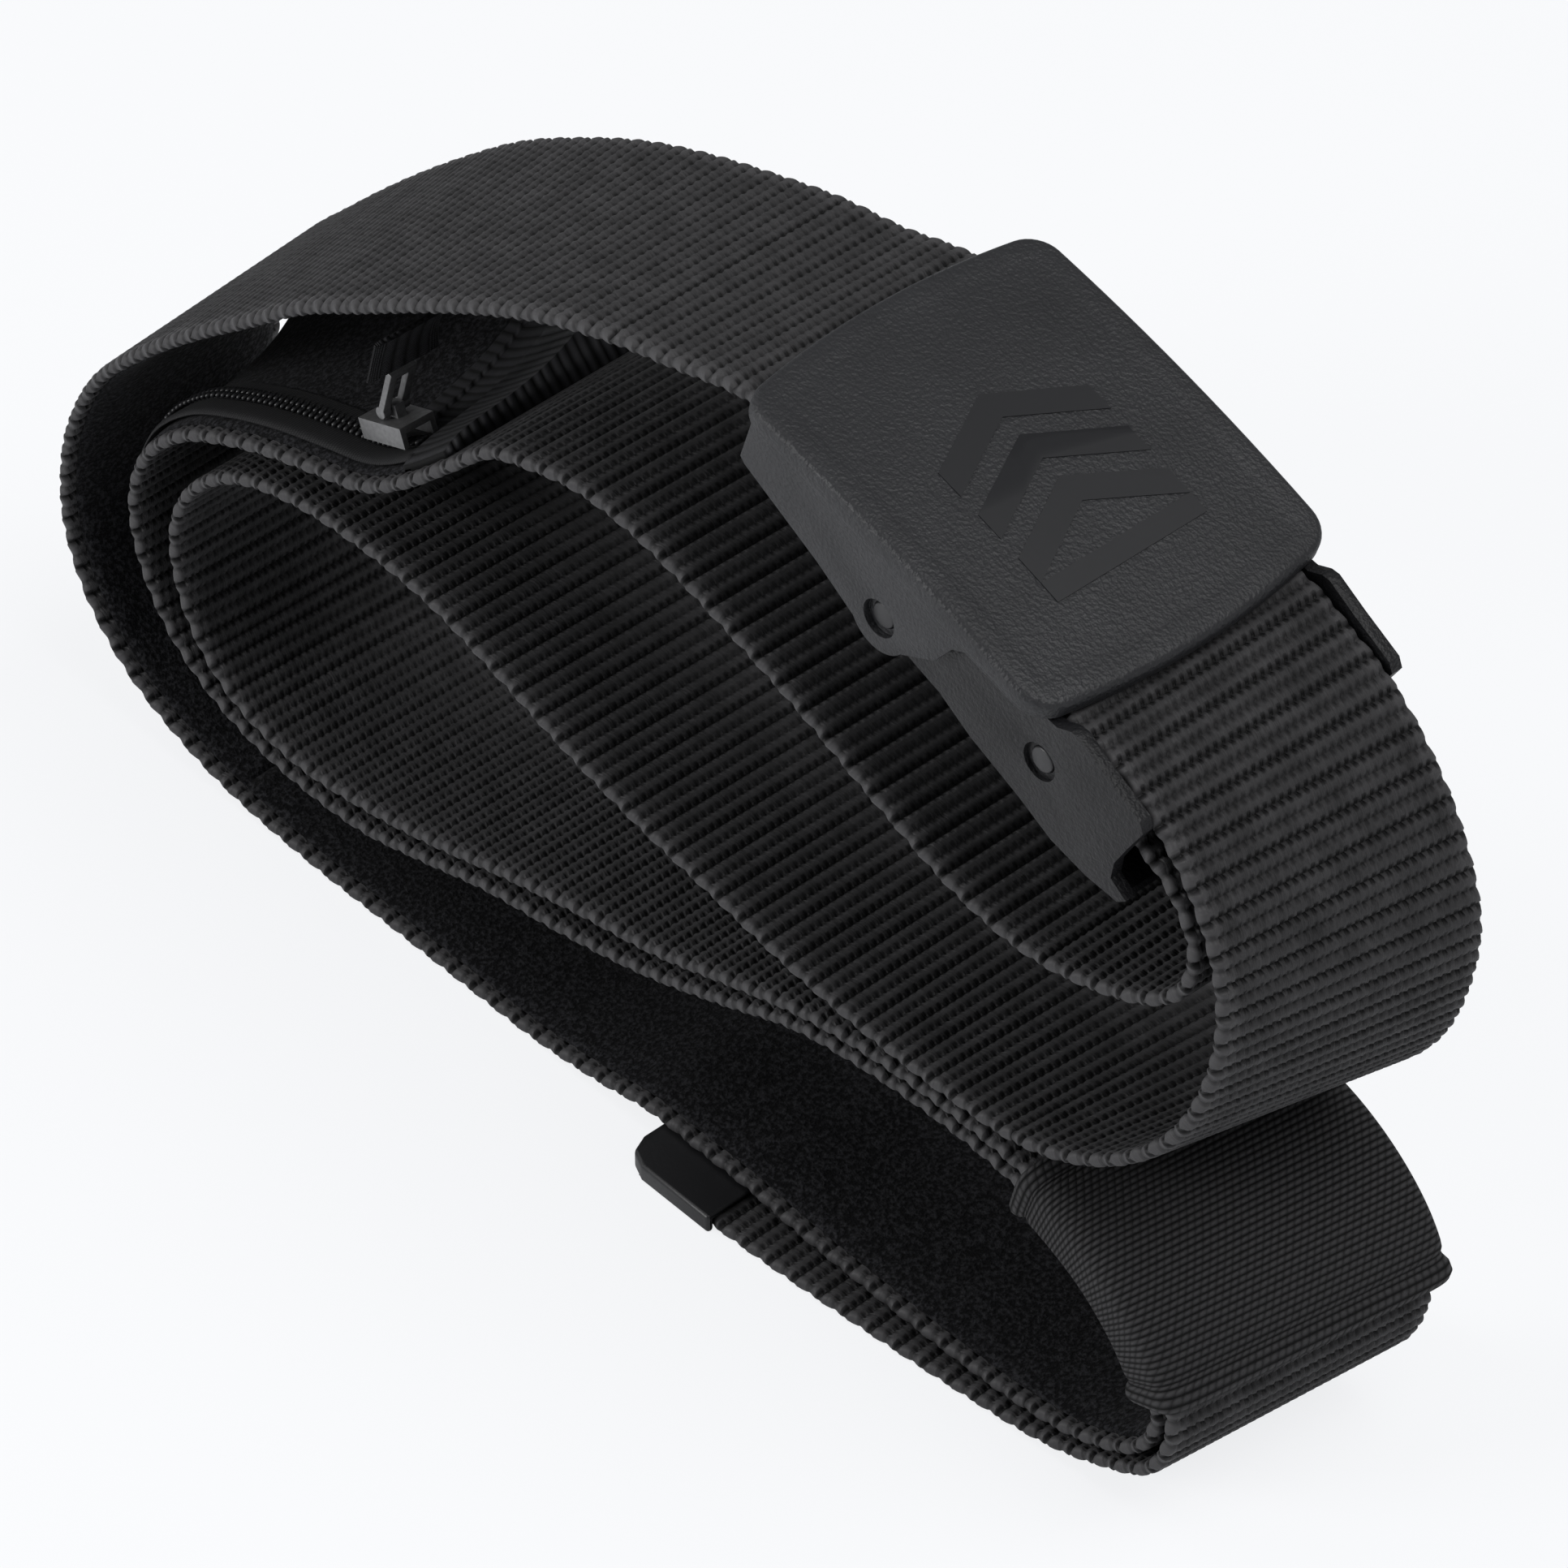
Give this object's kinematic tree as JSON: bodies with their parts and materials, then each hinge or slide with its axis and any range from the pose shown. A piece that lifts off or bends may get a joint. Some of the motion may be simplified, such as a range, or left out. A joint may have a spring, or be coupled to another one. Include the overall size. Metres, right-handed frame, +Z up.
{
  "type": "webbing travel belt",
  "caption": "Rolled black webbing belt with a hinged lever buckle, a hidden zip pocket in its lining and an elastic keeper.",
  "frame": {"origin": "on the floor under the middle of the rolled belt's box", "axes": "+X along the roll towards the buckle's tail end, +Y across the belt, +Z up"},
  "size_m": [0.2287, 0.0495, 0.1411],
  "materials": {
    "webbing": "ribbed woven webbing, low sheen",
    "lining": "brushed lining cloth",
    "grosgrain": "ribbed ribbon",
    "zip_tape": "woven zip tape",
    "zip_coil": "nylon coil",
    "zip_metal": "cast grey metal",
    "elastic": "fine woven elastic",
    "thread": "polyester thread",
    "tip_plastic": "moulded, satin",
    "buckle_plastic": "fine moulded texture",
    "emblem": "smooth raised mark",
    "pin": "dark pin"
  },
  "bodies": {
    "root": {"webbing_fixed_end": "webbing", "webbing_inner_run": "webbing", "webbing_lower_run": "webbing", "webbing_keeper_bend": "webbing", "webbing_floor_run": "webbing", "webbing_outer_bend": "webbing", "webbing_top_run": "webbing", "webbing_entry": "webbing", "webbing_tail_bend": "webbing", "webbing_tail_run": "webbing", "webbing_tail_return": "webbing", "webbing_tail_keeper": "webbing", "webbing_tail_floor": "webbing", "pocket_lining_inner": "lining", "pocket_lining_lower": "lining", "pocket_lining_floor": "lining", "pocket_lining_outer": "lining", "end_binding": "grosgrain", "zip_tapes": "zip_tape", "zip_coil": "zip_coil", "zip_stop": "zip_metal", "elastic_keeper": "elastic", "keeper_seam": "thread", "anchor_seam": "thread", "strap_tip": "tip_plastic", "frame": "buckle_plastic", "clamp_bar": "buckle_plastic", "hinge_pin": "pin", "anchor_bar": "pin"},
    "cover_lever": {"cover": "buckle_plastic", "cover_emblem": "emblem"},
    "zip_slider_body": {"zip_slider": "zip_metal"},
    "zip_pull_body": {"zip_pull": "zip_metal", "pull_ribbon": "grosgrain"}
  },
  "joints": [
    {"name": "cover_lift", "type": "hinge", "parent": "root", "child": "cover_lever", "pos_m": [0.0553, 0.0009, 0.121], "axis": [0, -1, 0], "range_deg": [0, 35], "deforming": ["webbing_entry"]},
    {"name": "zip_slide", "type": "slide", "parent": "root", "child": "zip_slider_body", "axis": [-0.9409, 0, -0.3387], "range_m": [0, 0.01]},
    {"name": "zip_pull_swing", "type": "hinge", "parent": "zip_slider_body", "child": "zip_pull_body", "pos_m": [-0.04692, -0.0111, 0.08602], "axis": [0, 1, 0], "range_deg": [-4, 45]}
  ]
}
